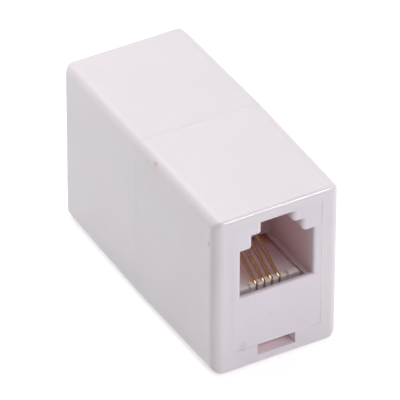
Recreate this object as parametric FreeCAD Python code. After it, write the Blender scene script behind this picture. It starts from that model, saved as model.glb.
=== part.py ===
"""Telephone inline coupler: two six-position modular jacks, back to back in a two-part moulded box.

Two half shells meet at the middle of the length. Each holds a jack insert in the window of its end,
and each insert holds a contact carrier with four bent spring wires. Crimp barrels join the tails of
those wires to four insulated leads, which run straight from one jack to the other.

Millimetres, +X across, +Y along, +Z up. The origin is the middle of the underside, at the seam.
The front jack opens towards -Y. A depth is measured from an end face towards the middle.
"""
import FreeCAD
import Part
import math
import os
from FreeCAD import Vector

# Plug opening of one jack
OPENING_WIDTH = 9.75
OPENING_DEPTH = 10.0
BODY_ROOM = 6.9
TAB_WIDTH = 6.58
TAB_ROOM = 1.76
TIP_WIDTH = 4.1
TIP_ROOM = 1.5
LOCK_WALL = 1.9
TAB_CORNER_RADIUS = 0.45
TIP_CORNER_RADIUS = 0.2
BODY_MOUTH_RADIUS = 0.38
LATCH_MOUTH_RADIUS = 0.62
SILL_RADIUS = 0.28

# Jack insert
INSERT_SIDE_WALL = 1.075
INSERT_BACK_WALL = 1.2
INSERT_BASE_WALL = 1.0
LOWER_ROOM = 1.435
SHELF_THICKNESS = 0.85
SILL_THICKNESS = 0.54
SILL_STEP = 0.3
RAIL_WIDTH = 0.55
RAIL_HEIGHT = 1.1
FLANGE_THICKNESS = 1.2
FACE_RECESS = 0.02
INSERT_CLEARANCE = 0.005
FLANGE_CLEARANCE = 0.1
NIB_WINDOW_LENGTH = 1.5
NIB_WINDOW_HEIGHT = 1.2

# Half shell
SIDE_RIM = 2.445
TOP_LEDGE = 0.495
CATCH_ROOM = 1.5
WALL = 1.2
END_WALL = 1.6
DRAFT_RISE = 0.2
LONG_EDGE_RADIUS = 1.3
UPRIGHT_EDGE_RADIUS = 1.25
LEVEL_EDGE_RADIUS = 0.4
INNER_RADIUS = 0.3
WINDOW_RADIUS = 0.2
SLOT_WIDTH = 5.1
CATCH_HEIGHT = 0.9
CATCH_FLAT = 0.5
CATCH_RAMP = 1.4
CATCH_CLEARANCE = 0.05
TONGUE_LENGTH = 1.0
TONGUE_THICKNESS = 0.5
TONGUE_INSET = 0.05
TONGUE_CLEARANCE = 0.05
SEAM_BEVEL = 0.02

# Contact carrier
POSITIONS = 6
PITCH = 1.02
COMB_SETBACK = 1.41
COMB_LENGTH = 1.08
COMB_LIP = 0.2
COMB_SLIT = 0.22
COMB_SLIT_RADIUS = 0.18
COMB_RISE = 0.35
COMB_RADIUS = 0.3
CARRIER_HEIGHT = 2.85
NECK_HEIGHT = 0.66
CARRIER_CLEARANCE = 0.05
NECK_CLEARANCE = 0.1
NIB_REACH = 0.45
NIB_CLEARANCE = 0.08

# Contact wires
CONTACTS = 4
WIRE_DIAMETER = 0.46
WIRE_CLEARANCE = 0.05
WIRE_DIP = 0.12
WIRE_SLOPE = 25.6
WIRE_BEND_RADIUS = 0.45
REST_GROOVE_DEPTH = 0.6
REST_GROOVE_HEIGHT = 4.8
REST_END_GAP = 0.25
FAN_PITCH = 2.1
FAN_START = 2.4
FAN_LENGTH = 4.6
FAN_BEND_RADIUS = 1.5

# Crimp barrels and leads
CRIMP_SETBACK = 0.25
CRIMP_LENGTH = 2.4
CRIMP_WALL = 0.28
CRIMP_CLEARANCE = 0.04
CRIMP_SLIT = 0.12
TROUGH_CLEARANCE = 0.05
TAIL_SHARE_GAP = 0.2
CORE_DIAMETER = 0.4
INSULATION_WALL = 0.2
INSULATION_CLEARANCE = 0.02
STRIP_GAP = 0.25
LEAD_SPAN = 9.26
LEAD_ARCH = 2.0
LEAD_RUN_SHARE = 0.19
ARC_SHARE = 0.45
LEAD_COLOURS = ("black", "red", "green", "yellow")

# A cutting solid runs past the face that it opens by this much
PAST = 1.0

# Widths worked out from the opening outwards
INSERT_HALF = OPENING_WIDTH / 2 + INSERT_SIDE_WALL
WINDOW_HALF = INSERT_HALF + INSERT_CLEARANCE
END_HALF = WINDOW_HALF + SIDE_RIM
FLANGE_HALF = END_HALF - WALL - FLANGE_CLEARANCE
RAIL_HALF = OPENING_WIDTH / 2 - RAIL_WIDTH
NECK_HALF = RAIL_HALF - NECK_CLEARANCE
CARRIER_HALF = OPENING_WIDTH / 2 - CARRIER_CLEARANCE

# Heights worked out from the underside up
END_BOTTOM = DRAFT_RISE
WINDOW_BOTTOM = END_BOTTOM + WALL + CATCH_ROOM
INSERT_BOTTOM = WINDOW_BOTTOM + INSERT_CLEARANCE
LOWER_FLOOR = INSERT_BOTTOM + INSERT_BASE_WALL
SHELF_BOTTOM = LOWER_FLOOR + LOWER_ROOM
SHELF_TOP = SHELF_BOTTOM + SHELF_THICKNESS
CARRIER_BOTTOM = SHELF_TOP + CARRIER_CLEARANCE
CARRIER_TOP = CARRIER_BOTTOM + CARRIER_HEIGHT
RAIL_BOTTOM = CARRIER_TOP + CARRIER_CLEARANCE
RAIL_TOP = RAIL_BOTTOM + RAIL_HEIGHT
OPENING_FLOOR = RAIL_TOP + SILL_STEP
NECK_TOP = CARRIER_TOP + NECK_HEIGHT
COMB_TOP = NECK_TOP + COMB_RISE
BODY_CEILING = OPENING_FLOOR + BODY_ROOM
TAB_CEILING = BODY_CEILING + TAB_ROOM
INSERT_TOP = TAB_CEILING + TIP_ROOM
WINDOW_TOP = INSERT_TOP + INSERT_CLEARANCE
END_TOP = WINDOW_TOP + TOP_LEDGE + WALL
FLANGE_BOTTOM = END_BOTTOM + WALL + FLANGE_CLEARANCE
FLANGE_TOP = END_TOP - WALL - FLANGE_CLEARANCE
NIB_MIDDLE = (CARRIER_BOTTOM + CARRIER_TOP) / 2

# Insets of the tongue's two faces from the shell's outer wall
TONGUE_INNER = WALL - TONGUE_INSET
TONGUE_OUTER = TONGUE_INNER - TONGUE_THICKNESS

# Depths worked out from an end face inwards
SILL_BACK = FACE_RECESS + SILL_THICKNESS
COMB_FRONT = SILL_BACK + COMB_SETBACK
COMB_BACK = COMB_FRONT + COMB_LENGTH
OPENING_BACK = FACE_RECESS + OPENING_DEPTH
INSERT_BACK = OPENING_BACK + INSERT_BACK_WALL
FLANGE_BACK = END_WALL + FLANGE_THICKNESS
CATCH_FACE = FLANGE_BACK + CATCH_CLEARANCE
NIB_WINDOW_BACK = OPENING_BACK
CRIMP_FRONT = INSERT_BACK + CRIMP_SETBACK
CRIMP_BACK = CRIMP_FRONT + CRIMP_LENGTH
CRIMP_MIDDLE = (CRIMP_FRONT + CRIMP_BACK) / 2
TAIL_END = CRIMP_MIDDLE - TAIL_SHARE_GAP / 2
CORE_START = CRIMP_MIDDLE + TAIL_SHARE_GAP / 2
INSULATION_START = CRIMP_BACK + STRIP_GAP
HALF_LENGTH = CRIMP_BACK + LEAD_SPAN / 2

# Wire sections
GROOVE_WIDTH = WIRE_DIAMETER + 2 * WIRE_CLEARANCE
WIRE_RUN_HEIGHT = CARRIER_BOTTOM + WIRE_CLEARANCE + WIRE_DIAMETER / 2
GROOVE_TOP = CARRIER_BOTTOM + WIRE_DIAMETER + 2 * WIRE_CLEARANCE
WIRE_RISER_DEPTH = COMB_FRONT + COMB_LIP + GROOVE_WIDTH / 2
WIRE_CORNER_HEIGHT = COMB_TOP - WIRE_DIP
WIRE_END_DEPTH = OPENING_BACK + REST_GROOVE_DEPTH - REST_END_GAP
CRIMP_BORE = max(WIRE_DIAMETER, CORE_DIAMETER) + 2 * CRIMP_CLEARANCE
CRIMP_DIAMETER = CRIMP_BORE + 2 * CRIMP_WALL
TROUGH_WIDTH = CRIMP_DIAMETER + 2 * TROUGH_CLEARANCE
INSULATION_BORE = CORE_DIAMETER + 2 * INSULATION_CLEARANCE
INSULATION_DIAMETER = INSULATION_BORE + 2 * INSULATION_WALL


def along(depth):
    """Y of a depth behind the front end face."""
    return depth - HALF_LENGTH


def block(left, right, front, back, bottom, top):
    """A box between two X, two depths and two heights."""
    corner = Vector(left, along(front), bottom)
    return Part.makeBox(right - left, back - front, top - bottom, corner)


def bar(half_width, front, back, bottom, top):
    """A box that is centred across the width."""
    return block(-half_width, half_width, front, back, bottom, top)


def rounded_outline(half_width, bottom, top, depth, radius):
    """An upright rectangle with rounded corners, facing along Y, from its bottom edge round."""
    y = along(depth)
    inset = radius * (1 - math.sqrt(0.5))
    corners = []
    for x_sign, z_sign in ((1, -1), (1, 1), (-1, 1), (-1, -1)):
        x = x_sign * half_width
        z = top if z_sign > 0 else bottom
        on_side = Vector(x, y, z - z_sign * radius)
        on_level = Vector(x - x_sign * radius, y, z)
        middle = Vector(x - x_sign * inset, y, z - z_sign * inset)
        ends = (on_level, on_side) if x_sign * z_sign < 0 else (on_side, on_level)
        corners.append((ends[0], middle, ends[1]))
    edges = []
    for before, corner in zip(corners[-1:] + corners, corners):
        edges.append(Part.makeLine(before[2], corner[0]))
        edges.append(Part.Arc(*corner).toShape())
    return Part.Wire(edges)


def rounded_bar(half_width, front, back, bottom, top, radius):
    """A bar along Y with rounded long edges."""
    face = Part.Face(rounded_outline(half_width, bottom, top, front, radius))
    return face.extrude(Vector(0, back - front, 0))


def side_profile(points, half_width):
    """A prism across the width from a list of (depth, height) points."""
    corners = [Vector(-half_width, along(depth), height) for depth, height in points]
    face = Part.Face(Part.makePolygon(corners + corners[:1]))
    return face.extrude(Vector(2 * half_width, 0, 0))


def bent_path(points, radii):
    """Straight runs through the points, joined at each inner point by a tangent arc."""
    edges = []
    start = points[0]
    for before, corner, after, radius in zip(points, points[1:], points[2:], radii):
        inward = (before - corner).normalize()
        outward = (after - corner).normalize()
        half_turn = (math.pi - inward.getAngle(outward)) / 2
        reach = radius * math.tan(half_turn)
        cut_off = radius / math.cos(half_turn) - radius
        arc_start = corner + inward * reach
        arc_end = corner + outward * reach
        arc_middle = corner + (inward + outward).normalize() * cut_off
        edges.append(Part.makeLine(start, arc_start))
        edges.append(Part.Arc(arc_start, arc_middle, arc_end).toShape())
        start = arc_end
    edges.append(Part.makeLine(start, points[-1]))
    return Part.Wire(edges)


def bent_rod(points, radii, diameter):
    """A round rod along a bent path."""
    path = bent_path(points, radii)
    section = Part.Wire(Part.makeCircle(diameter / 2, points[0], points[1] - points[0]))
    return path.makePipeShell([section], True, False)


def turned_to_rear(shape):
    """The same piece at the rear end: half a turn about the upright middle line."""
    turned = shape.copy()
    turned.rotate(Vector(0, 0, 0), Vector(0, 0, 1), 180)
    return turned


def row_places(count, pitch):
    """X of each place in a row that is centred across the width."""
    return [(number - (count - 1) / 2) * pitch for number in range(count)]


def leaning_box(front, back, inset):
    """A box between two depths whose sides lean out with the shell's walls, set in from them."""
    ends = []
    for depth in (front, back):
        lean = DRAFT_RISE * depth / HALF_LENGTH
        half_width = END_HALF + lean - inset
        bottom = END_BOTTOM - lean + inset
        top = END_TOP + lean - inset
        outline = ((-half_width, bottom), (half_width, bottom), (half_width, top), (-half_width, top))
        ends.append([Vector(x, along(depth), z) for x, z in outline])
    outlines = list(ends)
    for corner in range(4):
        beside = (corner + 1) % 4
        outlines.append([ends[0][corner], ends[0][beside], ends[1][beside], ends[1][corner]])
    faces = [Part.Face(Part.makePolygon(outline + outline[:1])) for outline in outlines]
    return Part.Solid(Part.Shell(faces))


def runs_along(edge):
    """Whether an edge goes from one end of a leaning box to the other."""
    return abs(edge.Vertexes[0].Y - edge.Vertexes[-1].Y) > HALF_LENGTH / 2


def rounded_body():
    """The outside of a half shell, its long, upright and level edges each with their own radius."""
    plain_body = leaning_box(0, HALF_LENGTH, 0)
    rows = []
    for number, edge in enumerate(plain_body.Edges, 1):
        if runs_along(edge):
            radius = LONG_EDGE_RADIUS
        elif edge.BoundBox.YMax > along(HALF_LENGTH / 2):
            continue
        elif edge.BoundBox.ZLength > edge.BoundBox.XLength:
            radius = UPRIGHT_EDGE_RADIUS
        else:
            radius = LEVEL_EDGE_RADIUS
        rows.append((number, radius, radius))
    document = FreeCAD.newDocument("shell")
    plain = document.addObject("Part::Feature", "plain")
    plain.Shape = plain_body
    rounded = document.addObject("Part::Fillet", "rounded")
    rounded.Base = plain
    rounded.Edges = rows
    document.recompute()
    body = rounded.Shape.copy()
    FreeCAD.closeDocument(document.Name)
    seam_edges = [edge for edge in body.Edges if edge.BoundBox.YMin > along(HALF_LENGTH) - SEAM_BEVEL]
    return body.makeChamfer(SEAM_BEVEL, seam_edges)


def inner_room():
    """The hollow of a half shell, behind its end wall."""
    room = leaning_box(END_WALL, HALF_LENGTH + PAST, WALL)
    return room.makeFillet(INNER_RADIUS, [edge for edge in room.Edges if runs_along(edge)])


def shell_half():
    """One half of the box, without its joint at the seam."""
    window = rounded_bar(WINDOW_HALF, -PAST, END_WALL + PAST, WINDOW_BOTTOM, WINDOW_TOP, WINDOW_RADIUS)
    slot_floor = END_BOTTOM + WALL - DRAFT_RISE * END_WALL / HALF_LENGTH
    slot_top = (WINDOW_BOTTOM + WINDOW_TOP) / 2
    slot = bar(SLOT_WIDTH / 2, -PAST, END_WALL, slot_floor, slot_top)
    body = rounded_body().cut([inner_room(), window, slot])
    buried = END_BOTTOM + WALL / 2
    catch_top = END_BOTTOM + WALL + CATCH_HEIGHT
    catch = side_profile([
        (CATCH_FACE, buried),
        (CATCH_FACE, catch_top),
        (CATCH_FACE + CATCH_FLAT, catch_top),
        (CATCH_FACE + CATCH_FLAT + CATCH_RAMP, buried),
    ], SLOT_WIDTH / 2 - CATCH_CLEARANCE)
    return body.fuse(catch).removeSplitter()


def seam_bar(front, back, inset):
    """A straight bar that fills the shell's section at the seam, set in from its outer walls."""
    half_width = END_HALF + DRAFT_RISE - inset
    top = END_TOP + DRAFT_RISE - inset
    return rounded_bar(half_width, front, back, inset, top, INNER_RADIUS + WALL - inset)


def shell_front():
    """Half shell with the tongue that enters the other half."""
    root = HALF_LENGTH - TONGUE_LENGTH
    tip = HALF_LENGTH + TONGUE_LENGTH
    tongue = seam_bar(root, tip, TONGUE_OUTER).cut(seam_bar(root, tip, TONGUE_INNER))
    return shell_half().fuse(tongue).removeSplitter()


def shell_rear():
    """Half shell with the rebate that takes the tongue."""
    rebate_floor = HALF_LENGTH - TONGUE_LENGTH - TONGUE_CLEARANCE
    rebate = seam_bar(rebate_floor, HALF_LENGTH + PAST, TONGUE_OUTER - TONGUE_CLEARANCE)
    return turned_to_rear(shell_half().cut(rebate).removeSplitter())


def rounded_step(half_width, level, radius):
    """The rounded lower corner of a step beside the opening: its start, middle and end."""
    inset = radius * (1 - math.sqrt(0.5))
    return [(half_width + radius, level), (half_width + inset, level + inset), (half_width, level + radius)]


def opening_outline(depth):
    """The stepped outline of the plug opening, open at the top of the insert."""
    right = [
        [(OPENING_WIDTH / 2, OPENING_FLOOR)],
        [(OPENING_WIDTH / 2, BODY_CEILING)],
        rounded_step(TAB_WIDTH / 2, BODY_CEILING, TAB_CORNER_RADIUS),
        [(TAB_WIDTH / 2, TAB_CEILING)],
        rounded_step(TIP_WIDTH / 2, TAB_CEILING, TIP_CORNER_RADIUS),
        [(TIP_WIDTH / 2, FLANGE_TOP + PAST)],
    ]
    left = [[(-x, z) for x, z in reversed(corner)] for corner in reversed(right)]
    corners = [[Vector(x, along(depth), z) for x, z in corner] for corner in right + left]
    edges = []
    for before, corner in zip(corners[-1:] + corners, corners):
        edges.append(Part.makeLine(before[-1], corner[0]))
        if len(corner) > 1:
            edges.append(Part.Arc(*corner).toShape())
    return Part.Wire(edges)


def lip(corner, outward, run, radius, room=PAST):
    """What is taken off one straight front edge of a hollow to round it, from one end of that edge."""
    inward = Vector(0, 1, 0)
    on_face = corner + outward * radius
    on_wall = corner + inward * radius
    middle = corner + (outward + inward) * radius * (1 - math.sqrt(0.5))
    in_room = [on_wall, on_wall - outward * room, corner - outward * room - inward * PAST]
    in_front = [on_face - inward * PAST, on_face]
    rounding = Part.Arc(on_face, middle, on_wall).toShape()
    outline = Part.Wire([rounding] + Part.makePolygon(in_room + in_front).Edges)
    return Part.Face(outline).extrude(run)


def mouth_lips():
    """The rounding of the mouth: its side walls, its sill, and the mitres where those meet."""
    down = Vector(0, 0, -1)
    face = along(FACE_RECESS)
    body_half = OPENING_WIDTH / 2
    sill_start = Vector(-body_half, face, OPENING_FLOOR)
    lips = [lip(sill_start, down, Vector(OPENING_WIDTH, 0, 0), SILL_RADIUS)]
    walls = (
        (body_half, OPENING_FLOOR, BODY_CEILING, BODY_MOUTH_RADIUS),
        (TAB_WIDTH / 2, BODY_CEILING, TAB_CEILING, LATCH_MOUTH_RADIUS),
        (TIP_WIDTH / 2, TAB_CEILING, FLANGE_TOP + PAST, LATCH_MOUTH_RADIUS),
    )
    for side in (-1, 1):
        outward = Vector(side, 0, 0)
        for half_width, bottom, top, radius in walls:
            foot = Vector(side * half_width, face, bottom)
            lips.append(lip(foot, outward, down * (bottom - top), radius))
        sill_end = Vector(side * body_half, face, OPENING_FLOOR)
        beside = lip(sill_end, down, outward * BODY_MOUTH_RADIUS, SILL_RADIUS)
        below = lip(sill_end, outward, down * SILL_RADIUS, BODY_MOUTH_RADIUS)
        lips.append(beside.common(below))
    return lips


def plug_opening():
    """The hollow that takes the plug: a stepped hole with a rounded mouth and a catch for its latch."""
    hole = Part.Face(opening_outline(-PAST)).extrude(Vector(0, OPENING_BACK + PAST, 0))
    latch_room = bar(TAB_WIDTH / 2, FACE_RECESS + LOCK_WALL, OPENING_BACK, BODY_CEILING, FLANGE_TOP + PAST)
    return [hole, latch_room] + mouth_lips()


def jack_insert():
    """The moulding behind the window, with the plug opening over the carrier's channel."""
    nose = rounded_bar(
        INSERT_HALF, FACE_RECESS, INSERT_BACK, INSERT_BOTTOM, INSERT_TOP, WINDOW_RADIUS)
    flange = rounded_bar(FLANGE_HALF, END_WALL, FLANGE_BACK, FLANGE_BOTTOM, FLANGE_TOP, INNER_RADIUS)
    hollows = plug_opening() + [
        bar(RAIL_HALF, SILL_BACK, INSERT_BACK + PAST, RAIL_BOTTOM, RAIL_TOP),
        bar(OPENING_WIDTH / 2, SILL_BACK, OPENING_BACK, RAIL_TOP, OPENING_FLOOR),
        bar(OPENING_WIDTH / 2, SILL_BACK, INSERT_BACK + PAST, SHELF_TOP, RAIL_BOTTOM),
        bar(OPENING_WIDTH / 2, SILL_BACK, INSERT_BACK + PAST, LOWER_FLOOR, SHELF_BOTTOM),
        bar(
            INSERT_HALF + PAST, NIB_WINDOW_BACK - NIB_WINDOW_LENGTH, NIB_WINDOW_BACK,
            NIB_MIDDLE - NIB_WINDOW_HEIGHT / 2, NIB_MIDDLE + NIB_WINDOW_HEIGHT / 2),
    ]
    for x in row_places(CONTACTS, PITCH):
        hollows.append(block(
            x - GROOVE_WIDTH / 2, x + GROOVE_WIDTH / 2, OPENING_BACK, OPENING_BACK + REST_GROOVE_DEPTH,
            OPENING_FLOOR, OPENING_FLOOR + REST_GROOVE_HEIGHT))
    return nose.fuse(flange).cut(hollows).removeSplitter()


def carrier_nibs():
    """Wedges on the carrier's sides that spring into the windows of the insert."""
    steep = NIB_WINDOW_BACK - NIB_CLEARANCE
    gentle = NIB_WINDOW_BACK - NIB_WINDOW_LENGTH + NIB_CLEARANCE
    bottom = NIB_MIDDLE - NIB_WINDOW_HEIGHT / 2 + NIB_CLEARANCE
    height = NIB_WINDOW_HEIGHT - 2 * NIB_CLEARANCE
    nibs = []
    for side in (-1, 1):
        buried = side * (CARRIER_HALF - NIB_REACH)
        tip = side * (CARRIER_HALF + NIB_REACH)
        corners = [
            Vector(buried, along(gentle), bottom),
            Vector(side * CARRIER_HALF, along(gentle), bottom),
            Vector(tip, along(steep), bottom),
            Vector(buried, along(steep), bottom),
        ]
        face = Part.Face(Part.makePolygon(corners + corners[:1]))
        nibs.append(face.extrude(Vector(0, 0, height)))
    return nibs


def fanned_groove(x_front, x_back):
    """Groove under the carrier that leads one wire from its comb slot out to its crimp."""
    half = GROOVE_WIDTH / 2
    fan_front = COMB_FRONT + FAN_START
    fan_back = fan_front + FAN_LENGTH
    middle = [
        (x_front, COMB_FRONT + COMB_LIP),
        (x_front, fan_front),
        (x_back, fan_back),
        (x_back, CRIMP_FRONT),
    ]
    outline = [Vector(x - half, along(depth), CARRIER_BOTTOM) for x, depth in middle]
    outline += [Vector(x + half, along(depth), CARRIER_BOTTOM) for x, depth in reversed(middle)]
    face = Part.Face(Part.makePolygon(outline + outline[:1]))
    return face.extrude(Vector(0, 0, GROOVE_TOP - CARRIER_BOTTOM))


def comb_slot(x):
    """One place of the comb: a slit, rounded in front, and a wider slot behind, blind if no wire goes in."""
    loaded = abs(x) < CONTACTS * PITCH / 2
    slot_floor = CARRIER_BOTTOM - PAST if loaded else NECK_TOP
    slit_back = COMB_FRONT + COMB_LIP
    half_slit = COMB_SLIT / 2
    half_slot = GROOVE_WIDTH / 2
    bottom = CARRIER_BOTTOM - PAST
    top = COMB_TOP + PAST
    pieces = [
        block(x - half_slit, x + half_slit, COMB_FRONT - PAST, slit_back, bottom, top),
        block(x - half_slot, x + half_slot, slit_back, COMB_BACK, slot_floor, top),
    ]
    for side in (-1, 1):
        foot = Vector(x + side * half_slit, along(COMB_FRONT), bottom)
        pieces.append(lip(foot, Vector(side, 0, 0), Vector(0, 0, top - bottom), COMB_SLIT_RADIUS, half_slit))
    return pieces


def contact_carrier():
    """The comb and floor under the plug opening, with grooves and troughs for the wires beneath."""
    body = bar(CARRIER_HALF, COMB_FRONT, CRIMP_BACK, CARRIER_BOTTOM, CARRIER_TOP)
    neck = bar(NECK_HALF, COMB_FRONT, INSERT_BACK, CARRIER_TOP, NECK_TOP)
    comb = bar(NECK_HALF, COMB_FRONT, COMB_BACK, CARRIER_TOP, COMB_TOP)
    long_edges = [edge for edge in comb.Edges if edge.BoundBox.ZMin > NECK_TOP]
    comb = comb.makeFillet(COMB_RADIUS, long_edges)
    hollows = []
    for x in row_places(POSITIONS, PITCH):
        hollows += comb_slot(x)
    for x_front, x_back in zip(row_places(CONTACTS, PITCH), row_places(CONTACTS, FAN_PITCH)):
        hollows.append(fanned_groove(x_front, x_back))
        trough_top = WIRE_RUN_HEIGHT + TROUGH_WIDTH / 2
        hollows.append(block(
            x_back - TROUGH_WIDTH / 2, x_back + TROUGH_WIDTH / 2, CRIMP_FRONT, CRIMP_BACK + PAST,
            CARRIER_BOTTOM - PAST, trough_top))
    return body.fuse([neck, comb] + carrier_nibs()).cut(hollows).removeSplitter()


def contact_wire(x_front, x_back):
    """One spring wire: free end at the back, down its comb slot and back under the carrier to its crimp."""
    run = WIRE_RUN_HEIGHT
    rise = (WIRE_END_DEPTH - WIRE_RISER_DEPTH) * math.tan(math.radians(WIRE_SLOPE))
    fan_front = COMB_FRONT + FAN_START
    points = [
        Vector(x_front, along(WIRE_END_DEPTH), WIRE_CORNER_HEIGHT + rise),
        Vector(x_front, along(WIRE_RISER_DEPTH), WIRE_CORNER_HEIGHT),
        Vector(x_front, along(WIRE_RISER_DEPTH), run),
        Vector(x_front, along(fan_front), run),
        Vector(x_back, along(fan_front + FAN_LENGTH), run),
        Vector(x_back, along(TAIL_END), run),
    ]
    radii = [WIRE_BEND_RADIUS, WIRE_BEND_RADIUS, FAN_BEND_RADIUS, FAN_BEND_RADIUS]
    return bent_rod(points, radii, WIRE_DIAMETER)


def crimp(x):
    """A rolled barrel with an open seam, closed round a wire's tail and a lead's bared end."""
    start = Vector(x, along(CRIMP_FRONT), WIRE_RUN_HEIGHT)
    length_way = Vector(0, 1, 0)
    barrel = Part.makeCylinder(CRIMP_DIAMETER / 2, CRIMP_LENGTH, start, length_way)
    bore = Part.makeCylinder(CRIMP_BORE / 2, CRIMP_LENGTH, start, length_way)
    slit = block(
        x - CRIMP_SLIT / 2, x + CRIMP_SLIT / 2, CRIMP_FRONT, CRIMP_BACK,
        WIRE_RUN_HEIGHT - CRIMP_DIAMETER, WIRE_RUN_HEIGHT)
    return barrel.cut([bore, slit])


def lead_route(x, start_depth):
    """The points of one lead: out of a crimp, up in a slack arch and down into the other."""
    run = LEAD_RUN_SHARE * (LEAD_SPAN - 2 * STRIP_GAP)
    foot = along(INSULATION_START) + run
    shoulder = foot + run
    low = WIRE_RUN_HEIGHT
    high = WIRE_RUN_HEIGHT + LEAD_ARCH
    front = [(along(start_depth), low), (foot, low), (shoulder, high)]
    rear = [(-y, z) for y, z in reversed(front)]
    return [Vector(x, y, z) for y, z in front + rear]


def lead_radii():
    """The arcs at a lead's bends, each as large as the insulated runs on its two sides allow."""
    points = lead_route(0, INSULATION_START)
    radii = []
    for before, corner, after in zip(points, points[1:], points[2:]):
        shorter = min((corner - before).Length, (after - corner).Length)
        turn = (corner - before).getAngle(after - corner)
        radii.append(ARC_SHARE * shorter / math.tan(turn / 2))
    return radii


def lead(x):
    """The insulation of one lead, a tube round its conductor."""
    points = lead_route(x, INSULATION_START)
    outside = bent_rod(points, lead_radii(), INSULATION_DIAMETER)
    return outside.cut(bent_rod(points, lead_radii(), INSULATION_BORE))


def lead_core(x):
    """The conductor of one lead, bared where it enters the crimps."""
    return bent_rod(lead_route(x, CORE_START), lead_radii(), CORE_DIAMETER)


def all_pieces():
    """Every piece of the coupler by name, in place."""
    pieces = {"shell_front": shell_front(), "shell_rear": shell_rear()}
    at_each_end = {"jack_insert_END": jack_insert(), "contact_carrier_END": contact_carrier()}
    places = zip(row_places(CONTACTS, PITCH), row_places(CONTACTS, FAN_PITCH))
    for number, (x_front, x_back) in enumerate(places, 1):
        at_each_end["contact_END_" + str(number)] = contact_wire(x_front, x_back)
        at_each_end["crimp_END_" + str(number)] = crimp(x_back)
    for name, shape in at_each_end.items():
        pieces[name.replace("END", "front")] = shape
        pieces[name.replace("END", "rear")] = turned_to_rear(shape)
    for colour, x in zip(LEAD_COLOURS, row_places(CONTACTS, FAN_PITCH)):
        pieces["lead_" + colour] = lead(x)
        pieces["lead_core_" + colour] = lead_core(x)
    return pieces


os.makedirs("parts", exist_ok=True)
for name, shape in all_pieces().items():
    shape.exportStep("parts/" + name + ".step")
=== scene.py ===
"""Looks of a telephone inline coupler: the finish of each moulding, wire and lead, and its stage."""
import math
from typing import NamedTuple

import bmesh
import bpy
from bpy.props import FloatProperty, FloatVectorProperty, PointerProperty
from mathutils import Matrix, Quaternion, Vector


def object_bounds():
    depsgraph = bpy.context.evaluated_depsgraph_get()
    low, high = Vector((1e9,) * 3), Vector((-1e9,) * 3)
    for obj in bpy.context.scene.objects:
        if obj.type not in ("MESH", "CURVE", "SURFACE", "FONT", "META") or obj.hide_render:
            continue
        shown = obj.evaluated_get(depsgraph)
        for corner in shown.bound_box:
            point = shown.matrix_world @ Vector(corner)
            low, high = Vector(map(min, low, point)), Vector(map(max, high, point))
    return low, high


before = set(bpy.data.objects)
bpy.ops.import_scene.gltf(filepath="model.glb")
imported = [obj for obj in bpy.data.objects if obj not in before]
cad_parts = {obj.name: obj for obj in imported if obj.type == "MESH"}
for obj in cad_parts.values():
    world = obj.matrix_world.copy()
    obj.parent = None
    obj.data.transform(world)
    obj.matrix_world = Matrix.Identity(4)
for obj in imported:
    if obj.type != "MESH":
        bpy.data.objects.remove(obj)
CAD_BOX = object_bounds()

bl_info = {
    "name": "Telephone Inline Coupler",
    "version": (1, 0, 0),
    "blender": (4, 5, 0),
    "location": "View3D > Sidebar > Coupler",
    "description": "Finishes a telephone inline coupler and sets its stage",
    "category": "Object",
}

MM = 0.001
WHITE = (1.0, 1.0, 1.0)

# Names of like pieces
ENDS = ("front", "rear")
CONTACT_NUMBERS = (1, 2, 3, 4)
LEADS = ("black", "red", "green", "yellow")

# Outer faces of the coupler, in millimetres
LEFT, FRONT, UNDERSIDE = (place / MM for place in CAD_BOX[0])
REAR = CAD_BOX[1].y / MM
TOP = CAD_BOX[1].z / MM

# Plastics: how strongly they bend light, how rough they are, and how far the grain sways that
ABS_IOR = 1.54
PBT_IOR = 1.57
PVC_IOR = 1.53
SHELL_ROUGHNESS = 0.33
RUBBED_ROUGHNESS = 0.13
INSERT_ROUGHNESS = 0.5
CARRIER_ROUGHNESS = 0.4
LEAD_ROUGHNESS = 0.35
GRAIN_SWAY = 0.004

# Share of the light that wanders inside a hazy plastic, and how far its red, green and blue go
HAZE = 0.5
HAZE_REACH = (1.0, 0.9, 0.9)

# Faint clouds of tone and the moulds' grain: fineness, and the span of the noise that is used
CLOUD_DETAIL = 3.0
CLOUD_ROUGHNESS = 0.55
CLOUD_SPAN = (0.35, 0.65)
CLOUD_STRENGTH = 0.35
GRAIN_DETAIL = 2.0
GRAIN_SPAN = (0.3, 0.7)

# Depths behind an end face, in millimetres, between which a plastic fades into its inner tone: painted
# shade and a painted warm glow of light coming through, deep in the jack
INSERT_PAINTED_SHADE_DEPTHS = (0.04, 2.0)
CARRIER_PAINTED_SHADE_DEPTHS = (1.9, 7.0)

# Platings: how rough they are, how far that sways from patch to patch, and how fine the patches are
GOLD_ROUGHNESS = 0.16
TIN_ROUGHNESS = 0.35
COPPER_ROUGHNESS = 0.3
PLATING_SWAY = 0.08
PATCH_DETAIL = 4.0

# Half the width of the floor, in millimetres
FLOOR_HALF = 3000

# How many times nearer and further than the coupler the camera still sees
CLIP_RATIO = 100


def linear(hex_code):
    """An sRGB hex colour as linear red, green and blue."""
    channels = [int(hex_code[start:start + 2], 16) / 255 for start in (1, 3, 5)]
    return [c / 12.92 if c <= 0.04045 else ((c + 0.055) / 1.055) ** 2.4 for c in channels]


def colour(name, description, hex_code):
    """A colour that a user may change."""
    return FloatVectorProperty(
        name=name, description=description, subtype="COLOR", size=3, min=0, max=1,
        default=linear(hex_code))


def length(name, description, millimetres):
    """A length that a user may change, held in metres."""
    return FloatProperty(
        name=name, description=description, unit="LENGTH", subtype="DISTANCE", min=0,
        precision=5, default=millimetres * MM)


def angle(name, description, degrees):
    """An angle that a user may change, held in radians."""
    return FloatProperty(
        name=name, description=description, unit="ROTATION", subtype="ANGLE",
        default=math.radians(degrees))


def power(name, description, watts):
    """The power of a lamp, which a user may change."""
    return FloatProperty(
        name=name, description=description, unit="POWER", min=0, precision=3, default=watts)


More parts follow.
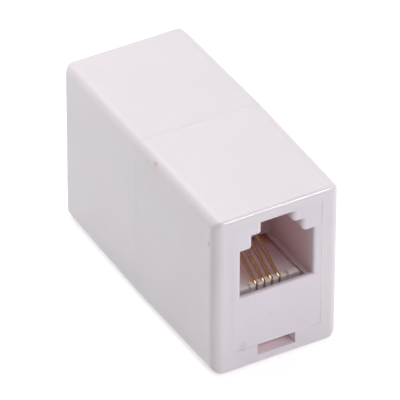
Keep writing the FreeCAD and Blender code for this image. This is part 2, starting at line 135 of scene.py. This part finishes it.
class CouplerFinish(bpy.types.PropertyGroup):
    """Colours and surface sizes of the pieces."""

    shell: colour("Shell", "Pale ABS of the two half shells", "#ECE6EB")
    insert: colour("Insert", "Pale ABS of the two jack inserts", "#ECE6EC")
    carrier: colour("Carrier", "Off-white PBT of the contact carriers", "#FFF8F4")
    cloud: colour("Cloud", "Tint of the faint clouds in the plastic", "#FAF6F8")
    # Painted shade: a darker, warmer tone deep in a jack that stands in for the shade there and for warm
    # light coming through the plastic
    inner: colour("Inner", "Warm tone that the plastic takes on deep in a jack", "#E9D0D4")
    # Painted light: a lighter, warmer tone standing in for light bounced round inside the slots under the
    # windows
    slot: colour("Slot", "Warm tone of the plastic in the slots under the windows", "#FCE8EB")
    # Painted light: paler bands that paint out the shade in the gap of the seam on top and along the front
    # insert's right and lower edges, with a light line above the slot
    seam: colour("Seam", "Paler plastic along the edges of the seams", "#FAF5F9")
    nick: colour("Nick", "Tan nick in the upper left edge", "#DDBDA2")
    dot: colour("Dot", "Grey of the dot on the left side and of the faint speck on the insert", "#B9B2B6")
    smudge: colour("Smudge", "Lilac smudge under the window", "#D2C8DC")
    stain: colour("Stain", "Brown stain at the back of the front carrier", "#E0A07C")
    gold: colour("Gold", "Gold plating of the contact wires", "#F0D6A6")
    gold_worn: colour("Worn gold", "Duller patches of the gold plating", "#CDAA80")
    tin: colour("Tin", "Tin plating of the crimp barrels", "#C9C6C0")
    tin_worn: colour("Worn tin", "Duller patches of the tin plating", "#A39E95")
    copper: colour("Copper", "Tinned copper of the conductors", "#CBA98F")
    copper_worn: colour("Worn copper", "Duller patches of the conductors", "#A9886F")
    black: colour("Black lead", "PVC of the black lead", "#232224")
    red: colour("Red lead", "PVC of the red lead", "#B3262A")
    green: colour("Green lead", "PVC of the green lead", "#2F7A45")
    yellow: colour("Yellow lead", "PVC of the yellow lead", "#DDB62F")
    # The real grain is a few hundredths of a millimetre wide, too fine to show, so it is drawn coarser
    grain: length("Grain", "Width of the moulds' fine texture, as drawn", 0.22)
    grain_depth: length("Grain depth", "Height of that texture", 0.0004)
    mottle: length("Mottle", "Width of the faint clouds in the plastic", 7.0)
    glow: length("Glow", "How far light wanders inside the plastic", 0.35)
    patch: length("Patch", "Width of the uneven patches in the platings", 0.5)


class CouplerStage(bpy.types.PropertyGroup):
    """Camera, lamps and floor."""

    lens: FloatProperty(
        name="Lens", description="Focal length of the camera on a 36 mm sensor", min=1, max=1000,
        unit="CAMERA", default=491.7)
    azimuth: angle("Azimuth", "How far the camera stands round to the right of the front", -29.481)
    elevation: angle("Elevation", "How far the camera stands above the horizon", 36.48)
    roll: angle("Roll", "How far the camera leans", 0.209)
    distance: length("Distance", "How far the camera stands from the coupler", 648.11)
    aim: FloatVectorProperty(
        name="Aim", description="Where the camera looks, from the middle of the coupler",
        unit="LENGTH", subtype="TRANSLATION", precision=5,
        default=(0.037 * MM, -0.113 * MM, -0.129 * MM))
    above_rear: power("Above rear", "Power of the large softbox high behind the coupler", 1.68)
    left: power("Left", "Power of the near, low softbox on the left", 0.063)
    front: power("Front", "Power of the large softbox in front", 0.1)
    above_front: power("Above front", "Power of the softbox high in front", 0.42)
    glint: power("Glint", "Power of the low strip whose glint shows on the upper front edge", 0.63)
    right: power("Right", "Power of the large softbox on the right", 0.5)
    cool: colour("Cool", "Tint of the lamps in front", "#FDFAFF")
    fill: FloatProperty(
        name="Fill", description="Strength of the light from all round", min=0, default=0.12)
    floor: colour("Floor", "Paper floor", "#F4F4F4")
    lift: FloatProperty(
        name="Lift", description="Light that the floor shows the camera beyond what falls on it",
        min=0, default=0.5)


class Mark(NamedTuple):
    """A small mark: the name of its colour, its place and reach in millimetres, and its strength."""

    tint: str
    centre: tuple
    reach: tuple
    strength: float


class Softbox(NamedTuple):
    """A softbox: its place in degrees, its distance and size in millimetres, and whether it is cool."""

    azimuth: float
    elevation: float
    away: float
    width: float
    height: float
    cool: bool = False


# Dirt and wear on the outside, and painted light: a warmer painted light in the slots under the windows and
# paler bands that paint out the shade in the gaps of the seam and round the front insert
OUTSIDE_MARKS_AND_PAINTED_LIGHT = (
    Mark("nick", (LEFT + 0.32, FRONT + 14.2, TOP - 0.54), (0.35, 0.62, 0.35), 0.75),
    Mark("dot", (LEFT + 0.19, FRONT + 1.4, TOP - 3.66), (0.2, 0.3, 0.5), 0.6),
    Mark("smudge", (-4.5, FRONT + 0.05, UNDERSIDE + 3.3), (0.75, 0.3, 1.0), 0.4),
    Mark("dot", (-0.8, FRONT + 0.03, UNDERSIDE + 6.85), (0.5, 0.3, 0.5), 0.08),
    # Painted light: a lighter, warmer tone standing in for light bounced round inside the slots
    Mark("slot", (0, FRONT + 1.5, UNDERSIDE + 2.2), (5.0, 1.45, 2.4), 1.0),
    Mark("slot", (0, REAR - 1.5, UNDERSIDE + 2.2), (5.0, 1.45, 2.4), 1.0),
    # Painted light: paler bands over the gap of the seam on top and along the front insert's right and
    # lower edges
    Mark("seam", (0, 0, TOP), (60, 0.18, 0.8), 0.6),
    Mark("seam", (5.955, FRONT + 0.02, UNDERSIDE + 12.2), (0.22, 0.5, 11.5), 1.0),
    Mark("seam", (1.5, FRONT + 0.02, UNDERSIDE + 2.9), (6.5, 0.5, 0.32), 0.8),
)

# Brown patch at the back of the front carrier
CARRIER_MARKS = (Mark("stain", (4.0, FRONT + 9.6, UNDERSIDE + 9.75), (0.75, 1.5, 0.5), 0.9),)

# Share of a mark's reach within which it shows in full
MARK_CORE = 0.3

# The upper edges of the two ends, which handling has rubbed smooth: their middles and reach, in millimetres
RUBBED_EDGES = ((0, FRONT + 0.04, TOP - 0.42), (0, REAR - 0.04, TOP - 0.42))
RUBBED_REACH = (60, 0.55, 0.55)

# The lamps, under the names of their powers
SOFTBOXES = {
    "above_rear": Softbox(180, 62, 500, 450, 450),
    "left": Softbox(-127, 13, 160, 160, 160),
    "front": Softbox(10, 20, 500, 400, 400, cool=True),
    "above_front": Softbox(10, 60, 500, 300, 300, cool=True),
    "glint": Softbox(24.1, 12, 500, 60, 150, cool=True),
    "right": Softbox(80, 25, 500, 550, 550),
}


def add(tree, kind, options=None, inputs=None):
    """Adds a node, sets its options, and fills or links its inputs."""
    made = tree.nodes.new(kind)
    for option, value in (options or {}).items():
        setattr(made, option, value)
    for socket, value in (inputs or {}).items():
        if isinstance(value, bpy.types.NodeSocket):
            tree.links.new(value, made.inputs[socket])
        else:
            made.inputs[socket].default_value = value
    return made


def new_material(name):
    """An empty node material, its tree and its output node."""
    material = bpy.data.materials.new(name)
    material.use_nodes = True
    tree = material.node_tree
    tree.nodes.clear()
    return material, tree, add(tree, "ShaderNodeOutputMaterial")


def opaque(rgb):
    """A colour with full alpha."""
    return (*rgb, 1.0)


def dress(names, material):
    """Gives the named pieces one material."""
    for name in names:
        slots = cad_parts[name].material_slots
        if not slots:
            raise RuntimeError(name + " has no material slot")
        for slot in slots:
            slot.material = material


def nearness(tree, place, centre, reach, strength):
    """How much a mark shows: its strength near its centre, fading to nothing at its reach."""
    near = add(tree, "ShaderNodeMapping", {"vector_type": "TEXTURE"}, {
        "Vector": place,
        "Location": [c * MM for c in centre],
        "Scale": [r * MM for r in reach],
    })
    away = add(tree, "ShaderNodeVectorMath", {"operation": "LENGTH"}, {"Vector": near.outputs["Vector"]})
    return add(tree, "ShaderNodeMapRange", {"interpolation_type": "SMOOTHSTEP"}, {
        "Value": away.outputs["Value"], "From Min": MARK_CORE, "From Max": 1.0,
        "To Min": strength, "To Max": 0.0,
    }).outputs["Result"]


def marked(tree, place, base, finish, marks):
    """The base colour with small marks over it, some of them real marks and some painted light."""
    for mark in marks:
        base = add(tree, "ShaderNodeMix", {"data_type": "RGBA"}, {
            "Factor": nearness(tree, place, mark.centre, mark.reach, mark.strength),
            "A": base, "B": opaque(getattr(finish, mark.tint)),
        }).outputs["Result"]
    return base


def rubbed(tree, place, polish, edges):
    """The roughness, lower along edges that are rubbed smooth."""
    for middle in edges:
        polish = add(tree, "ShaderNodeMix", {"data_type": "FLOAT"}, {
            "Factor": nearness(tree, place, middle, RUBBED_REACH, 1.0),
            "A": polish, "B": RUBBED_ROUGHNESS,
        }).outputs["Result"]
    return polish


def painted_shade_inward(tree, place, base, finish, depths):
    """The base colour, darker and warmer from one depth behind an end face to another: painted shade, and a
    painted glow of light coming through the plastic.
    """
    along = add(tree, "ShaderNodeSeparateXYZ", None, {"Vector": place}).outputs["Y"]
    away = add(tree, "ShaderNodeMath", {"operation": "ABSOLUTE"}, {0: along}).outputs["Value"]
    start, stop = ((REAR - depth) * MM for depth in depths)
    share = add(tree, "ShaderNodeMapRange", {"interpolation_type": "SMOOTHSTEP"}, {
        "Value": away, "From Min": start, "From Max": stop, "To Min": 0.0, "To Max": 1.0,
    }).outputs["Result"]
    return add(tree, "ShaderNodeMix", {"data_type": "RGBA"}, {
        "Factor": share, "A": base, "B": opaque(finish.inner),
    }).outputs["Result"]


def clouded(tree, place, rgb, finish):
    """The plain colour of a plastic with faint clouds in it."""
    cloud = add(tree, "ShaderNodeTexNoise", None, {
        "Vector": place, "Scale": 1 / finish.mottle,
        "Detail": CLOUD_DETAIL, "Roughness": CLOUD_ROUGHNESS,
    }).outputs["Fac"]
    share = add(tree, "ShaderNodeMapRange", None, {
        "Value": cloud, "From Min": CLOUD_SPAN[0], "From Max": CLOUD_SPAN[1],
        "To Min": 0.0, "To Max": CLOUD_STRENGTH,
    }).outputs["Result"]
    return add(tree, "ShaderNodeMix", {"data_type": "RGBA", "blend_type": "MULTIPLY"}, {
        "Factor": share, "A": opaque(rgb), "B": opaque(finish.cloud),
    }).outputs["Result"]


def plastic(name, finish, rgb, roughness, ior, marks=(), painted_shade_depths=None, edges=(), haze=HAZE):
    """A thermoplastic that has taken on the fine grain of a mould or die."""
    material, tree, out = new_material(name)
    place = add(tree, "ShaderNodeTexCoord").outputs["Object"]
    tone = clouded(tree, place, rgb, finish)
    if painted_shade_depths:
        tone = painted_shade_inward(tree, place, tone, finish, painted_shade_depths)
    tone = marked(tree, place, tone, finish, marks)
    grain = add(tree, "ShaderNodeTexNoise", None, {
        "Vector": place, "Scale": 1 / finish.grain, "Detail": GRAIN_DETAIL,
    }).outputs["Fac"]
    polish = add(tree, "ShaderNodeMapRange", None, {
        "Value": grain, "From Min": GRAIN_SPAN[0], "From Max": GRAIN_SPAN[1],
        "To Min": roughness - GRAIN_SWAY, "To Max": roughness + GRAIN_SWAY,
    }).outputs["Result"]
    polish = rubbed(tree, place, polish, edges)
    relief = add(tree, "ShaderNodeBump", None, {
        "Height": grain, "Distance": finish.grain_depth, "Strength": 1.0,
    }).outputs["Normal"]
    surface = add(tree, "ShaderNodeBsdfPrincipled", None, {
        "Base Color": tone, "Roughness": polish, "Normal": relief, "IOR": ior,
        "Subsurface Weight": haze, "Subsurface Radius": HAZE_REACH, "Subsurface Scale": finish.glow,
    })
    tree.links.new(surface.outputs["BSDF"], out.inputs["Surface"])
    return material


def plated_metal(name, finish, bright, worn, roughness):
    """A metal whose gloss and tone sway a little from patch to patch."""
    material, tree, out = new_material(name)
    place = add(tree, "ShaderNodeTexCoord").outputs["Object"]
    patch = add(tree, "ShaderNodeTexNoise", None, {
        "Vector": place, "Scale": 1 / finish.patch, "Detail": PATCH_DETAIL,
    }).outputs["Fac"]
    tone = add(tree, "ShaderNodeMix", {"data_type": "RGBA"}, {
        "Factor": patch, "A": opaque(bright), "B": opaque(worn),
    }).outputs["Result"]
    polish = add(tree, "ShaderNodeMapRange", None, {
        "Value": patch, "To Min": roughness - PLATING_SWAY, "To Max": roughness + PLATING_SWAY,
    }).outputs["Result"]
    surface = add(tree, "ShaderNodeBsdfPrincipled", None, {
        "Base Color": tone, "Roughness": polish, "Metallic": 1.0,
    })
    tree.links.new(surface.outputs["BSDF"], out.inputs["Surface"])
    return material


def moulded_abs_shell(finish):
    """ABS from a finely etched mould: pale, with a satin sheen and a bright line along the rubbed edges."""
    return plastic(
        "moulded_abs_shell", finish, finish.shell, SHELL_ROUGHNESS, ABS_IOR,
        marks=OUTSIDE_MARKS_AND_PAINTED_LIGHT, edges=RUBBED_EDGES)


def moulded_abs_insert(finish):
    """ABS from a duller mould: nearly matt, with painted shade and a painted warm glow inside the opening.
    """
    return plastic(
        "moulded_abs_insert", finish, finish.insert, INSERT_ROUGHNESS, ABS_IOR,
        marks=OUTSIDE_MARKS_AND_PAINTED_LIGHT, painted_shade_depths=INSERT_PAINTED_SHADE_DEPTHS)


def moulded_pbt_carrier(finish):
    """PBT from a smooth mould: off-white and dense, so no light wanders in it, with a soft gloss and
    painted shade deep in the jack.
    """
    return plastic(
        "moulded_pbt_carrier", finish, finish.carrier, CARRIER_ROUGHNESS, PBT_IOR,
        marks=CARRIER_MARKS, painted_shade_depths=CARRIER_PAINTED_SHADE_DEPTHS, haze=0.0)


def extruded_pvc(finish, tint):
    """PVC pressed through a die round its conductor: an even, strong colour with a soft gloss."""
    return plastic("extruded_pvc_" + tint, finish, getattr(finish, tint), LEAD_ROUGHNESS, PVC_IOR)


def gold_plated_wire(finish):
    """Gold over drawn wire: sharp bright lines along each bend, with duller, browner patches."""
    return plated_metal("gold_plated_wire", finish, finish.gold, finish.gold_worn, GOLD_ROUGHNESS)


def tin_plated_strip(finish):
    """Tin over rolled strip: a soft grey shine with duller patches."""
    return plated_metal("tin_plated_strip", finish, finish.tin, finish.tin_worn, TIN_ROUGHNESS)


def tinned_copper_wire(finish):
    """Thinly tinned copper, drawn: a pale, pinkish shine with browner patches."""
    return plated_metal("tinned_copper_wire", finish, finish.copper, finish.copper_worn, COPPER_ROUGHNESS)


class COUPLER_OT_finish_shells(bpy.types.Operator):
    """Gives the two half shells their moulded finish"""

    bl_idname = "coupler.finish_shells"
    bl_label = "Finish half shells"

    def execute(self, context):
        dress(["shell_" + end for end in ENDS], moulded_abs_shell(context.scene.coupler_finish))
        return {"FINISHED"}


class COUPLER_OT_finish_inserts(bpy.types.Operator):
    """Gives the two jack inserts their moulded finish"""

    bl_idname = "coupler.finish_inserts"
    bl_label = "Finish jack inserts"

    def execute(self, context):
        dress(["jack_insert_" + end for end in ENDS], moulded_abs_insert(context.scene.coupler_finish))
        return {"FINISHED"}


class COUPLER_OT_finish_carriers(bpy.types.Operator):
    """Gives the two contact carriers their moulded finish"""

    bl_idname = "coupler.finish_carriers"
    bl_label = "Finish contact carriers"

    def execute(self, context):
        carriers = ["contact_carrier_" + end for end in ENDS]
        dress(carriers, moulded_pbt_carrier(context.scene.coupler_finish))
        return {"FINISHED"}


class COUPLER_OT_finish_contacts(bpy.types.Operator):
    """Gives the spring wires their gold plating"""

    bl_idname = "coupler.finish_contacts"
    bl_label = "Finish contact wires"

    def execute(self, context):
        wires = ["contact_{}_{}".format(end, number) for end in ENDS for number in CONTACT_NUMBERS]
        dress(wires, gold_plated_wire(context.scene.coupler_finish))
        return {"FINISHED"}


class COUPLER_OT_finish_crimps(bpy.types.Operator):
    """Gives the crimp barrels their tin plating"""

    bl_idname = "coupler.finish_crimps"
    bl_label = "Finish crimp barrels"

    def execute(self, context):
        barrels = ["crimp_{}_{}".format(end, number) for end in ENDS for number in CONTACT_NUMBERS]
        dress(barrels, tin_plated_strip(context.scene.coupler_finish))
        return {"FINISHED"}


class COUPLER_OT_finish_leads(bpy.types.Operator):
    """Gives the leads their insulation colours and their conductors tinned copper"""

    bl_idname = "coupler.finish_leads"
    bl_label = "Finish leads"

    def execute(self, context):
        finish = context.scene.coupler_finish
        for tint in LEADS:
            dress(["lead_" + tint], extruded_pvc(finish, tint))
        dress(["lead_core_" + tint for tint in LEADS], tinned_copper_wire(finish))
        return {"FINISHED"}


def show_behind(tree, seen, unseen):
    """Mixes two shaders: one that the camera, gloss and glass see, and one for the light that falls."""
    path = add(tree, "ShaderNodeLightPath")
    looks = path.outputs["Is Camera Ray"]
    for ray in ("Is Glossy Ray", "Is Transmission Ray"):
        looks = add(tree, "ShaderNodeMath", {"operation": "MAXIMUM"}, {
            0: looks, 1: path.outputs[ray],
        }).outputs["Value"]
    return add(tree, "ShaderNodeMixShader", None, {"Fac": looks, 1: unseen, 2: seen}).outputs["Shader"]


def matt_white_paper(stage):
    """Matt white paper: it takes the coupler's shadow and goes to white away from it."""
    material, tree, out = new_material("matt_white_paper")
    paper = add(tree, "ShaderNodeBsdfDiffuse", None, {"Color": opaque(stage.floor)}).outputs["BSDF"]
    lift = add(tree, "ShaderNodeEmission", None, {"Strength": stage.lift}).outputs["Emission"]
    lifted = add(tree, "ShaderNodeAddShader", None, {0: paper, 1: lift}).outputs["Shader"]
    tree.links.new(show_behind(tree, lifted, paper), out.inputs["Surface"])
    return material


def white_surround(stage):
    """A world that lights softly from all round and shows plain white."""
    world = bpy.data.worlds.new("white_surround")
    world.use_nodes = True
    tree = world.node_tree
    tree.nodes.clear()
    white = add(tree, "ShaderNodeBackground", None, {"Color": opaque(WHITE), "Strength": 1.0})
    soft = add(tree, "ShaderNodeBackground", None, {"Color": opaque(WHITE), "Strength": stage.fill})
    out = add(tree, "ShaderNodeOutputWorld")
    shown = show_behind(tree, white.outputs["Background"], soft.outputs["Background"])
    tree.links.new(shown, out.inputs["Surface"])
    return world


def direction(azimuth, elevation):
    """The way from the coupler to something that stands round it: azimuth 0 is the front."""
    level = math.cos(elevation)
    return Vector((math.sin(azimuth) * level, -math.cos(azimuth) * level, math.sin(elevation)))


def lay_floor(scene, stage):
    """Lays a flat sheet of paper under the coupler."""
    sheet = bmesh.new()
    bmesh.ops.create_grid(sheet, x_segments=1, y_segments=1, size=FLOOR_HALF * MM)
    bmesh.ops.translate(sheet, verts=sheet.verts, vec=(0, 0, UNDERSIDE * MM))
    mesh = bpy.data.meshes.new("floor")
    sheet.to_mesh(mesh)
    sheet.free()
    mesh.materials.append(matt_white_paper(stage))
    floor = bpy.data.objects.new("floor", mesh)
    scene.collection.objects.link(floor)


def hang_softbox(scene, stage, name, softbox, middle):
    """Hangs one softbox, turned towards the middle of the coupler."""
    lamp = bpy.data.lights.new("softbox_" + name, "AREA")
    lamp.shape = "RECTANGLE"
    lamp.size = softbox.width * MM
    lamp.size_y = softbox.height * MM
    lamp.energy = getattr(stage, name)
    lamp.color = stage.cool if softbox.cool else WHITE
    hung = bpy.data.objects.new("softbox_" + name, lamp)
    way = direction(math.radians(softbox.azimuth), math.radians(softbox.elevation))
    turn = way.to_track_quat("Z", "Y")
    hung.matrix_world = Matrix.LocRotScale(middle + way * softbox.away * MM, turn, None)
    scene.collection.objects.link(hung)


def stand_camera(scene, stage, middle):
    """Stands the camera at its viewing angle."""
    lens = bpy.data.cameras.new("camera")
    lens.lens = stage.lens
    lens.clip_start = stage.distance / CLIP_RATIO
    lens.clip_end = stage.distance * CLIP_RATIO
    camera = bpy.data.objects.new("camera", lens)
    back = direction(stage.azimuth, stage.elevation)
    turn = (-back).to_track_quat("-Z", "Y") @ Quaternion((0, 0, 1), stage.roll)
    spot = middle + Vector(stage.aim) + back * stage.distance
    camera.matrix_world = Matrix.LocRotScale(spot, turn, None)
    scene.collection.objects.link(camera)
    scene.camera = camera


class COUPLER_OT_set_stage(bpy.types.Operator):
    """Lays the floor, hangs the lamps and stands the camera"""

    bl_idname = "coupler.set_stage"
    bl_label = "Set stage"

    def execute(self, context):
        scene = context.scene
        stage = scene.coupler_stage
        middle = (CAD_BOX[0] + CAD_BOX[1]) / 2
        lay_floor(scene, stage)
        scene.world = white_surround(stage)
        for name, softbox in SOFTBOXES.items():
            hang_softbox(scene, stage, name, softbox, middle)
        stand_camera(scene, stage, middle)
        scene.view_settings.view_transform = "Standard"
        return {"FINISHED"}


OPERATORS = (
    COUPLER_OT_finish_shells,
    COUPLER_OT_finish_inserts,
    COUPLER_OT_finish_carriers,
    COUPLER_OT_finish_contacts,
    COUPLER_OT_finish_crimps,
    COUPLER_OT_finish_leads,
    COUPLER_OT_set_stage,
)


class COUPLER_PT_panel(bpy.types.Panel):
    """Lists the coupler's settings and steps"""

    bl_idname = "COUPLER_PT_panel"
    bl_label = "Telephone Inline Coupler"
    bl_space_type = "VIEW_3D"
    bl_region_type = "UI"
    bl_category = "Coupler"

    def draw(self, context):
        for group in (context.scene.coupler_finish, context.scene.coupler_stage):
            box = self.layout.box()
            for name in type(group).__annotations__:
                box.prop(group, name)
        for operator in OPERATORS:
            self.layout.operator(operator.bl_idname)


CLASSES = (CouplerFinish, CouplerStage, *OPERATORS, COUPLER_PT_panel)


def register():
    """Makes the settings, steps and panel known."""
    for made in CLASSES:
        bpy.utils.register_class(made)
    bpy.types.Scene.coupler_finish = PointerProperty(type=CouplerFinish)
    bpy.types.Scene.coupler_stage = PointerProperty(type=CouplerStage)


def unregister():
    """Takes them away again."""
    del bpy.types.Scene.coupler_stage
    del bpy.types.Scene.coupler_finish
    for made in reversed(CLASSES):
        bpy.utils.unregister_class(made)


def main():
    """Runs every step in order."""
    register()
    bpy.ops.coupler.finish_shells()
    bpy.ops.coupler.finish_inserts()
    bpy.ops.coupler.finish_carriers()
    bpy.ops.coupler.finish_contacts()
    bpy.ops.coupler.finish_crimps()
    bpy.ops.coupler.finish_leads()
    bpy.ops.coupler.set_stage()


if __name__ == "__main__":
    main()
